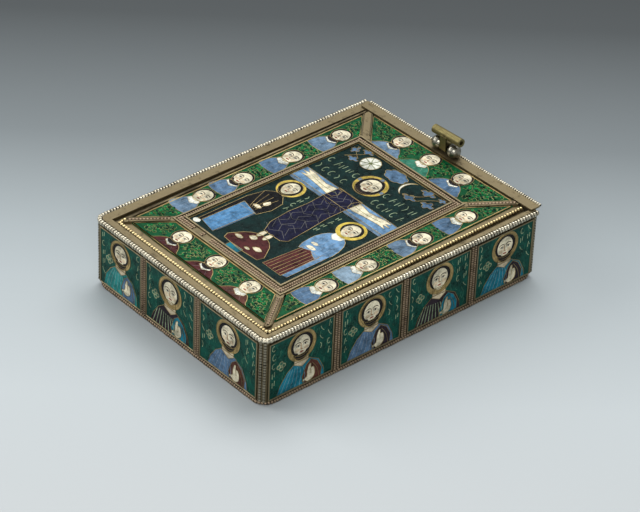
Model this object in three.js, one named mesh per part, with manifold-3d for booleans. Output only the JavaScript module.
// A gilt silver reliquary casket with a sliding lid, set with enamel panels.
// Millimetres, +Z up. The origin is the middle of the underside. The casket's length runs along Y:
// the closed end is at -Y, and the lid slides out towards the loop at +Y.
import * as THREE from 'three';
import * as BufferGeometryUtils from 'three/addons/utils/BufferGeometryUtils.js';
import Module from 'manifold-3d';

// Driving dimensions of the box
const WALL_X = 35.5; // half the width over the walls
const WALL_Y = 48.7; // half the length over the walls
const DOUBLE_POST_CUT = [2.2, 1.2]; // legs along X and Y of the flat on the front right corner
const CORNER_CUT = [1.0, 1.0]; // legs of the flat on the other three
const INNER_X = 33.3; // half the width of the hollow
const INNER_Y = 46.4; // half the length of the hollow
const FLOOR_Z = 1.6;
const LEDGE_Z = 19.8; // the lid slides on this ledge
const RAIL_Z = 21.2; // underside of the rails that hold the lid down
const BOX_TOP = 22.0;
const GROOVE_X = 34.6;
const GROOVE_Y = 47.3;
const SLOT_X = [-32.3, 33.9]; // the slot between the rails

// Beaded wires
const TOP_WIRE_R = 0.7;
const TOP_WIRE_Z = 21.6;
const FOOT_WIRE_R = 0.6;
const LID_WIRE_R = 0.5;
const END_WIRE_R = 0.42;
const WIRE_SIDES = 8;
const TOP_WIRE_CORNER = 2.5;
const FOOT_WIRE_CORNER = 3.8;
const TOP_WIRE_OUT = 0.35; // how far a rim wire's centre stands outside the wall
const FOOT_WIRE_OUT = 0.1;

// Enamel panels on the walls
const PANEL_Z = [1.5, 19.9];
const BACK_PANEL_Z = [1.5, 19.3]; // the back wall ends at the lid's ledge
const PANEL_SEAT = 0.6; // depth of the pocket that a panel is set in
const PANEL_PROUD = 0.45; // how far its rim stands outside the wall
const PANEL_RIM = 0.4;
const PANEL_SINK = 0.2; // the enamel lies this far below the rim
const POCKET_GAP = 0.15;
const SIDE_PANELS = { widths: [22.2, 21.4, 22.2, 21.0], start: -47.2, space: 2.6 };
const FRONT_PANELS = { widths: [18.2, 21.0, 23.8], start: -34.2, space: 2.1 };
const BACK_PANELS = { widths: [31.2, 31.2], start: -32.5, space: 2.6 };
const POST_Z = [1.3, 20.7];
const DIVIDER = { half: 0.95, base: 0.3, ridge: 0.42, middle: 0.5, margin: 0.4 };

// Lid. Its raised field is not quite square to the box; corners go front left, front right,
// back right, back left.
const PLATE = { x: 34.4, front: -47.1, back: 48.3, z: [19.8, 21.0] };
const STEP = { plan: [[-30.8, -46.2], [33.7, -46.3], [32.3, 46.9], [-31.9, 45.0]], z: 21.25 };
const FIELD = { plan: [[-29.7, -45.1], [32.6, -45.2], [31.2, 46.9], [-30.8, 45.0]], z: 21.55 };
const RISER = [[-30.6, 45.0], [30.3, 46.9], [30.3, 48.3], [-30.6, 47.9]];
const END_STRIP = { plan: [[-33.8, 48.0], [-33.8, 44.9], [34.8, 47.0], [34.8, 50.2]], z: [22.05, 22.6] };
const LID_PANEL_Z = 21.95;
const FRAME_OUTER = [[-22.3, -33.2], [23.0, -33.1], [21.4, 34.5], [-22.1, 34.5]];
const FRAME_INNER = [[-20.3, -29.9], [19.4, -29.9], [18.3, 32.0], [-20.1, 32.0]];
const FRAME_Z = 22.5;
const FRAME_CHANNEL = { rim: 0.5, depth: 0.4 };
const BORDER_OUTER = [[-29.3, -43.0], [30.5, -43.4], [29.6, 46.5], [-30.4, 44.7]];
const MITRE_LIMIT = [[-29.4, -44.6], [31.5, -44.7], [30.1, 46.6], [-30.5, 44.75]];
const MITRE_Z = 22.25;
const MITRES = {
  mitre_front_left: { from: [-21.6, -32.4], to: [-29.6, -43.5], width: 2.1 },
  mitre_front_right: { from: [22.5, -32.6], to: [31.2, -44.3], width: 2.1 },
  mitre_back_right: { from: [20.9, 33.8], to: [30.0, 47.6], width: 2.0 },
  mitre_back_left: { from: [-20.3, 34.6], to: [-31.2, 45.4], width: 2.7 },
};
const SEAM = 0.15; // gap left round each piece that is set into the lid

// Loop: a tube joined to a sleeve, which swings on a pin between two balls on the end strip
const PIN = { x: -1.0, y: 47.9, z: 24.4, r: 0.45 };
const BALL = { r: 2.05, offset: 3.2 };
const TUBE = { r: 1.3, bore: 0.65, length: 11.0, dx: 0.4, dz: 3.8, tilt: 0.05 };
const SLEEVE = { width: 2.4, r: 1.6, bore: 0.75, recess: 1.2, inset: 0.3 };
const STRAP = 0.5; // thickness of the strap that joins the sleeve to the tube

const gilt = { color: 0x8f7d56, metalness: 0.9, roughness: 0.42 };
const silver = { color: 0xa59f8c, metalness: 0.9, roughness: 0.4 };
const sideEnamel = { color: 0x1f544a, metalness: 0.1, roughness: 0.35 };
const lidEnamel = { color: 0x14603f, metalness: 0.1, roughness: 0.3 };

const wasm = await Module();
wasm.setup();

const casket = new THREE.Group();
casket.name = 'reliquary_casket';

// --- shared helpers -------------------------------------------------------------------------

function toSolid(geometry) {
  const bare = geometry.clone();
  bare.deleteAttribute('normal');
  bare.deleteAttribute('uv');
  const merged = BufferGeometryUtils.mergeVertices(bare, 1e-4);
  const vertProperties = new Float32Array(merged.getAttribute('position').array);
  const triVerts = new Uint32Array(merged.getIndex().array);
  return new wasm.Manifold(new wasm.Mesh({ numProp: 3, vertProperties, triVerts }));
}

function toGeometry(solid) {
  const { vertProperties, triVerts } = solid.getMesh();
  const geometry = new THREE.BufferGeometry();
  geometry.setAttribute('position', new THREE.BufferAttribute(new Float32Array(vertProperties), 3));
  geometry.setIndex(new THREE.BufferAttribute(new Uint32Array(triVerts), 1));
  geometry.computeVertexNormals();
  return geometry;
}

function addMesh(name, geometry, finish) {
  const mesh = new THREE.Mesh(geometry, new THREE.MeshStandardMaterial(finish));
  mesh.name = name;
  casket.add(mesh);
  return mesh;
}

function block(x, y, z) {
  const geometry = new THREE.BoxGeometry(x[1] - x[0], y[1] - y[0], z[1] - z[0]);
  return geometry.translate((x[0] + x[1]) / 2, (y[0] + y[1]) / 2, (z[0] + z[1]) / 2);
}

function solidBlock(x, y, z) {
  return toSolid(block(x, y, z));
}

function prism(points, z) {
  const shape = new THREE.Shape(points.map(([x, y]) => new THREE.Vector2(x, y)));
  const geometry = new THREE.ExtrudeGeometry(shape, { depth: z[1] - z[0], bevelEnabled: false });
  return geometry.translate(0, 0, z[0]);
}

// A convex plan, counter-clockwise, with every edge moved outwards by the given distance.
function offsetPlan(points, by) {
  const edges = points.map((a, i) => {
    const b = points[(i + 1) % points.length];
    const length = Math.hypot(b[0] - a[0], b[1] - a[1]);
    const normal = [(b[1] - a[1]) / length, (a[0] - b[0]) / length];
    return { normal, reach: a[0] * normal[0] + a[1] * normal[1] + by };
  });
  return edges.map((edge, i) => {
    const before = edges[(i + edges.length - 1) % edges.length];
    const cross = before.normal[0] * edge.normal[1] - before.normal[1] * edge.normal[0];
    return [
      (before.reach * edge.normal[1] - edge.reach * before.normal[1]) / cross,
      (edge.reach * before.normal[0] - before.reach * edge.normal[0]) / cross,
    ];
  });
}

function solidPrism(points, z) {
  return toSolid(prism(points, z));
}

function cylinderAlongX(radius, length, middle, sides = 24, tilt = 0) {
  const geometry = new THREE.CylinderGeometry(radius, radius, length, sides);
  return geometry.rotateZ(Math.PI / 2).rotateY(-tilt).translate(middle.x, middle.y, middle.z);
}

// Corner points of a plan outline; a round corner of radius r is a quarter circle of short chords.
function corner(cx, cy, r, startAngle, steps = 4) {
  const points = [];
  for (let i = 0; i <= steps; i += 1) {
    const a = startAngle + (Math.PI / 2) * (i / steps);
    points.push([cx + r * Math.cos(a), cy + r * Math.sin(a)]);
  }
  return points;
}

function roundedPlan(halfX, front, back, frontR, backR) {
  const points = [
    ...corner(-halfX + frontR, front + frontR, frontR, Math.PI),
    ...corner(halfX - frontR, front + frontR, frontR, 1.5 * Math.PI),
  ];
  if (backR === 0) return [...points, [halfX, back], [-halfX, back]];
  return [
    ...points,
    ...corner(halfX - backR, back - backR, backR, 0),
    ...corner(-halfX + backR, back - backR, backR, 0.5 * Math.PI),
  ];
}

function cutCornerPlan(halfX, halfY, [cutX, cutY], [frontRightX, frontRightY]) {
  return [
    [-halfX, -halfY + cutY], [-halfX + cutX, -halfY],
    [halfX - frontRightX, -halfY], [halfX, -halfY + frontRightY],
    [halfX, halfY - cutY], [halfX - cutX, halfY], [-halfX + cutX, halfY], [-halfX, halfY - cutY],
  ];
}

// A path through given vertices, whose tangent at each vertex halves the turn there.
class WirePath extends THREE.Curve {
  constructor(points, z) {
    super();
    this.vertices = points.map(([x, y]) => new THREE.Vector3(x, y, z));
    this.steps = this.vertices.length - 1;
  }
  getPointAt(u) {
    return this.vertices[Math.round(u * this.steps)].clone();
  }
  getPoint(t) {
    return this.getPointAt(t);
  }
  getTangentAt(u) {
    const i = Math.round(u * this.steps);
    const last = this.steps;
    const back = i === 0 ? null : this.vertices[i].clone().sub(this.vertices[i - 1]).normalize();
    const ahead = i === last ? null : this.vertices[i + 1].clone().sub(this.vertices[i]).normalize();
    if (!back) return ahead;
    if (!ahead) return back;
    return back.add(ahead).normalize();
  }
}

function wire(points, z, radius) {
  const section = new THREE.Shape();
  for (let i = 0; i < WIRE_SIDES; i += 1) {
    const a = (2 * Math.PI * (i + 0.5)) / WIRE_SIDES;
    const method = i === 0 ? 'moveTo' : 'lineTo';
    section[method](radius * Math.cos(a), radius * Math.sin(a));
  }
  const path = new WirePath(points, z);
  return new THREE.ExtrudeGeometry(section, { steps: path.steps, extrudePath: path, bevelEnabled: false });
}

// --- places along the walls -----------------------------------------------------------------

function spans({ widths, start, space }) {
  let edge = start;
  return widths.map((width) => {
    const span = [edge, edge + width];
    edge += width + space;
    return span;
  });
}

// Each wall: its panels' spans along it, and how a block given as (along, depth, z) is turned onto it.
const alongY = (a, d) => ({ x: d, y: a });
const alongX = (a, d) => ({ x: a, y: d });
const walls = [
  { name: 'right', spans: spans(SIDE_PANELS), face: WALL_X, turn: alongY, z: PANEL_Z },
  { name: 'left', spans: spans(SIDE_PANELS), face: -WALL_X, turn: alongY, z: PANEL_Z },
  { name: 'front', spans: spans(FRONT_PANELS), face: -WALL_Y, turn: alongX, z: PANEL_Z },
  { name: 'back', spans: spans(BACK_PANELS), face: WALL_Y, turn: alongX, z: BACK_PANEL_Z },
];

// A block on a wall: span along it, and depths outwards from its face (negative is into the wall).
function wallBlock(wall, span, depths, z) {
  const outward = Math.sign(wall.face);
  const ends = depths.map((depth) => wall.face + outward * depth).sort((a, b) => a - b);
  const { x, y } = wall.turn(span, ends);
  return block(x, y, z);
}

function grow([low, high], by) {
  return [low - by, high + by];
}

// --- box ------------------------------------------------------------------------------------

function casketBox() {
  const shelf = TOP_WIRE_Z - TOP_WIRE_R; // the rim wire lies on this shelf
  const railX = WALL_X + TOP_WIRE_OUT - TOP_WIRE_R;
  const railFront = -(WALL_Y + TOP_WIRE_OUT - TOP_WIRE_R);
  const footX = WALL_X + FOOT_WIRE_OUT - FOOT_WIRE_R;
  const footY = WALL_Y + FOOT_WIRE_OUT - FOOT_WIRE_R;
  const footR = FOOT_WIRE_CORNER - FOOT_WIRE_R;
  const railR = TOP_WIRE_CORNER - TOP_WIRE_R;
  const foot = prism(roundedPlan(footX, -footY, footY, footR, footR), [0, 2 * FOOT_WIRE_R]);
  const plan = cutCornerPlan(WALL_X, WALL_Y, CORNER_CUT, DOUBLE_POST_CUT);
  const wallBody = prism(plan, [2 * FOOT_WIRE_R, shelf]);
  const rails = prism(roundedPlan(railX, railFront, WALL_Y, railR, 0), [shelf, BOX_TOP]);
  let box = toSolid(foot).add(toSolid(wallBody)).add(toSolid(rails));
  const beyond = WALL_Y + 1;
  const cuts = [
    solidBlock([-INNER_X, INNER_X], [-INNER_Y, INNER_Y], [FLOOR_Z, LEDGE_Z + 0.1]),
    solidBlock([-GROOVE_X, GROOVE_X], [-GROOVE_Y, beyond], [LEDGE_Z, RAIL_Z]),
    solidBlock(SLOT_X, [-INNER_Y, beyond], [RAIL_Z - 0.1, BOX_TOP + 1]),
  ];
  for (const wall of walls) {
    for (const span of wall.spans) {
      const pocket = wallBlock(wall, grow(span, POCKET_GAP), [-PANEL_SEAT, 1], grow(wall.z, POCKET_GAP));
      cuts.push(toSolid(pocket));
    }
  }
  for (const cut of cuts) box = box.subtract(cut);
  addMesh('casket_box', toGeometry(box), gilt);
}

function boxWires() {
  const topX = WALL_X + TOP_WIRE_OUT;
  const topFront = -(WALL_Y + TOP_WIRE_OUT);
  const rim = [
    [-topX, WALL_Y],
    ...corner(-topX + TOP_WIRE_CORNER, topFront + TOP_WIRE_CORNER, TOP_WIRE_CORNER, Math.PI),
    ...corner(topX - TOP_WIRE_CORNER, topFront + TOP_WIRE_CORNER, TOP_WIRE_CORNER, 1.5 * Math.PI),
    [topX, WALL_Y],
  ];
  addMesh('top_wire', wire(rim, TOP_WIRE_Z, TOP_WIRE_R), silver);

  const footX = WALL_X + FOOT_WIRE_OUT;
  const footY = WALL_Y + FOOT_WIRE_OUT;
  const plan = roundedPlan(footX, -footY, footY, FOOT_WIRE_CORNER, FOOT_WIRE_CORNER);
  const seam = [0.3, -footY]; // the two ends of the foot wire nearly meet here, under the front
  const start = plan.findIndex(([x]) => x > 0);
  const loop = [seam, ...plan.slice(start), ...plan.slice(0, start), [-seam[0], seam[1]]];
  addMesh('foot_wire', wire(loop, FOOT_WIRE_R, FOOT_WIRE_R), silver);
}

// The section of a strip with rounded ridges along it; s runs across it and d outwards.
function ridgedSection(half, base, ridge, middles) {
  const section = [[-half, 0], [-half, base]];
  for (const middle of middles) {
    for (let i = 0; i <= 5; i += 1) {
      const a = Math.PI * (1 - i / 5);
      section.push([middle + ridge * Math.cos(a), base + ridge * Math.sin(a)]);
    }
  }
  section.push([half, base], [half, 0]);
  return section;
}

// An upright strip on a foot point, whose face looks along out.
function upright(name, foot, out, section, z, finish) {
  const along = [-out[1], out[0]];
  const points = section.map(([s, d]) => [
    foot[0] + along[0] * s + out[0] * d,
    foot[1] + along[1] * s + out[1] * d,
  ]);
  addMesh(name, prism(points, z), finish);
}

// A corner post: a strip on the flat of the corner, with a ridge for each of its rows of beads.
function cornerPost(name, sideX, sideY, [cutX, cutY], ridge, ridges) {
  const length = Math.hypot(cutX, cutY);
  const section = ridgedSection(length / 2 - 0.1, 0.3, ridge, ridges);
  const foot = [sideX * (WALL_X - cutX / 2), sideY * (WALL_Y - cutY / 2)];
  const out = [(sideX * cutY) / length, (sideY * cutX) / length];
  upright(name, foot, out, section, POST_Z, silver);
}

function cornerPosts() {
  cornerPost('post_front_right', 1, -1, DOUBLE_POST_CUT, 0.5, [-0.6, 0.6]);
  cornerPost('post_front_left', -1, -1, CORNER_CUT, 0.5, [0]);
  cornerPost('post_back_left', -1, 1, CORNER_CUT, 0.5, [0]);
  cornerPost('post_back_right', 1, 1, CORNER_CUT, 0.5, [0]);
}

// An enamel panel: a plate in its pocket, with a raised metal rim round the sunken enamel.
function wallPanels() {
  for (const wall of walls) {
    wall.spans.forEach((span, i) => {
      const plate = toSolid(wallBlock(wall, span, [-PANEL_SEAT, PANEL_PROUD], wall.z));
      const sunk = [PANEL_PROUD - PANEL_SINK, PANEL_PROUD + 1];
      const field = wallBlock(wall, grow(span, -PANEL_RIM), sunk, grow(wall.z, -PANEL_RIM));
      addMesh(`panel_${wall.name}_${i + 1}`, toGeometry(plate.subtract(toSolid(field))), sideEnamel);
    });
  }
}

// The upright strips between panels, each with two ridges.
function dividers() {
  const section = ridgedSection(DIVIDER.half, DIVIDER.base, DIVIDER.ridge, [-DIVIDER.middle, DIVIDER.middle]);
  for (const wall of walls) {
    const z = [POST_Z[0], wall.z[1] + DIVIDER.margin];
    const side = Math.sign(wall.face);
    const out = wall.turn(0, side);
    for (let i = 1; i < wall.spans.length; i += 1) {
      const middle = (wall.spans[i - 1][1] + wall.spans[i][0]) / 2;
      const foot = wall.turn(middle, wall.face);
      upright(`divider_${wall.name}_${i}`, [foot.x, foot.y], [out.x, out.y], section, z, gilt);
    }
  }
}

// --- lid ------------------------------------------------------------------------------------

function lid() {
  const plate = solidBlock([-PLATE.x, PLATE.x], [PLATE.front, PLATE.back], PLATE.z);
  const step = solidPrism(STEP.plan, [PLATE.z[0], STEP.z]);
  const field = solidPrism(FIELD.plan, [PLATE.z[0], FIELD.z]);
  const riser = solidPrism(RISER, [PLATE.z[0], END_STRIP.z[1]]);
  const strip = solidPrism(END_STRIP.plan, END_STRIP.z);
  addMesh('lid', toGeometry(plate.add(step).add(field).add(riser).add(strip)), gilt);
}

// The lid's wire runs round the two sides and the front of its field.
function lidWires() {
  const [frontLeft, frontRight, backRight, backLeft] = FIELD.plan;
  const out = LID_WIRE_R + 0.03;
  const path = [
    [backLeft[0] - out, backLeft[1] - 0.4],
    [frontLeft[0] - out, frontLeft[1] + 0.1],
    [frontLeft[0] + 0.1, frontLeft[1] - out],
    [frontRight[0] - 0.1, frontRight[1] - out],
    [frontRight[0] + out, frontRight[1] + 0.1],
    [backRight[0] + out, backRight[1] - 0.4],
  ];
  addMesh('lid_wire', wire(path, STEP.z + LID_WIRE_R, LID_WIRE_R), gilt);

  const [left, , , right] = END_STRIP.plan;
  const run = [left, right].map(([x, y]) => [x, y + END_WIRE_R + 0.02]);
  addMesh('lid_end_wire', wire(run, END_STRIP.z[0] + END_WIRE_R, END_WIRE_R), silver);
}

function innerFrame() {
  const outer = solidPrism(FRAME_OUTER, [FIELD.z, FRAME_Z]);
  const opening = solidPrism(FRAME_INNER, [FIELD.z - 1, FRAME_Z + 1]);
  const channelZ = [FRAME_Z - FRAME_CHANNEL.depth, FRAME_Z + 1];
  const channel = solidPrism(offsetPlan(FRAME_OUTER, -FRAME_CHANNEL.rim), channelZ)
    .subtract(solidPrism(offsetPlan(FRAME_INNER, FRAME_CHANNEL.rim), grow(channelZ, 1)));
  addMesh('inner_frame', toGeometry(outer.subtract(opening).subtract(channel)), gilt);
}

// Where a mitre's centre line, moved sideways by offset, crosses the line through a and b.
function crossing({ from, to }, offset, [a, b]) {
  const d = [to[0] - from[0], to[1] - from[1]];
  const length = Math.hypot(d[0], d[1]);
  const start = [from[0] - (d[1] / length) * offset, from[1] + (d[0] / length) * offset];
  const e = [b[0] - a[0], b[1] - a[1]];
  const t = ((a[0] - start[0]) * e[1] - (a[1] - start[1]) * e[0]) / (d[0] * e[1] - d[1] * e[0]);
  return [start[0] + d[0] * t, start[1] + d[1] * t];
}

function mitreStrips() {
  const hole = solidPrism(offsetPlan(FRAME_OUTER, SEAM), [0, 30]);
  const limits = solidPrism(MITRE_LIMIT, [0, 30]).subtract(hole);
  for (const [name, { from, to, width }] of Object.entries(MITRES)) {
    const angle = Math.atan2(to[1] - from[1], to[0] - from[0]);
    const length = Math.hypot(to[0] - from[0], to[1] - from[1]) + 8;
    const bar = new THREE.BoxGeometry(length, width, MITRE_Z - FIELD.z);
    bar.rotateZ(angle);
    bar.translate((from[0] + to[0]) / 2, (from[1] + to[1]) / 2, (MITRE_Z + FIELD.z) / 2);
    addMesh(name, toGeometry(toSolid(bar).intersect(limits)), gilt);
  }
}

// A border panel lies between two mitre strips, the inner frame and the lid's edge. Going out from
// the frame, mitre a is on its right and mitre b on its left.
function borderPanel(name, a, b, inner, outer) {
  const beside = (mitre, side, edge) => crossing(mitre, side * (mitre.width / 2 + SEAM), edge);
  const points = [beside(a, 1, inner), beside(a, 1, outer), beside(b, -1, outer), beside(b, -1, inner)];
  addMesh(name, prism(points, [FIELD.z, LID_PANEL_Z]), lidEnamel);
}

function lidPanels() {
  const [nearLeft, nearRight, farRight, farLeft] = offsetPlan(FRAME_OUTER, SEAM);
  const [frontLeft, frontRight, backRight, backLeft] = BORDER_OUTER;
  const { mitre_front_left: fl, mitre_front_right: fr, mitre_back_right: br, mitre_back_left: bl } = MITRES;
  borderPanel('border_front', fl, fr, [nearLeft, nearRight], [frontLeft, frontRight]);
  borderPanel('border_right', fr, br, [nearRight, farRight], [frontRight, backRight]);
  borderPanel('border_back', br, bl, [farRight, farLeft], [backRight, backLeft]);
  borderPanel('border_left', bl, fl, [farLeft, nearLeft], [backLeft, frontLeft]);
  addMesh('scene_panel', prism(offsetPlan(FRAME_INNER, -SEAM), [FIELD.z, LID_PANEL_Z]), lidEnamel);
}

// --- loop -----------------------------------------------------------------------------------

// The hinge pin's two balls stand on the end strip, each on a small flat.
function hingePin() {
  let pin = toSolid(cylinderAlongX(PIN.r, 2 * BALL.offset, PIN, 16));
  for (const side of [-1, 1]) {
    const ball = new THREE.SphereGeometry(BALL.r, 20, 12);
    ball.translate(PIN.x + side * BALL.offset, PIN.y, PIN.z);
    pin = pin.add(toSolid(ball));
  }
  const below = solidBlock(grow([PIN.x, PIN.x], 9), grow([PIN.y, PIN.y], 9), [0, END_STRIP.z[1]]);
  addMesh('hinge_pin', toGeometry(pin.subtract(below)), silver);
}

// The loop: a sleeve round the pin, and a strap up its front that joins it to the tube above. The
// sleeve is recessed at both ends, where the balls come close to the pin.
function loop() {
  const axis = { x: PIN.x + TUBE.dx, y: PIN.y, z: PIN.z + TUBE.dz };
  const width = grow([PIN.x, PIN.x], SLEEVE.width / 2);
  const front = PIN.y - SLEEVE.r;
  const sleeve = toSolid(cylinderAlongX(SLEEVE.r, SLEEVE.width, PIN));
  const strap = solidBlock(width, [front, front + STRAP], [PIN.z, axis.z]);
  const tube = toSolid(cylinderAlongX(TUBE.r, TUBE.length, axis, 24, TUBE.tilt));
  let solid = tube.add(sleeve).add(strap)
    .subtract(toSolid(cylinderAlongX(TUBE.bore, TUBE.length + 2, axis, 24, TUBE.tilt)))
    .subtract(toSolid(cylinderAlongX(SLEEVE.bore, SLEEVE.width + 2, PIN)));
  for (const side of [-1, 1]) {
    const middle = { ...PIN, x: PIN.x + side * (SLEEVE.width / 2 - SLEEVE.inset + 0.5) };
    solid = solid.subtract(toSolid(cylinderAlongX(SLEEVE.recess, 1, middle)));
  }
  addMesh('loop', toGeometry(solid), gilt);
}

casketBox();
boxWires();
cornerPosts();
wallPanels();
dividers();
lid();
lidWires();
innerFrame();
mitreStrips();
lidPanels();
hingePin();
loop();

export default casket;
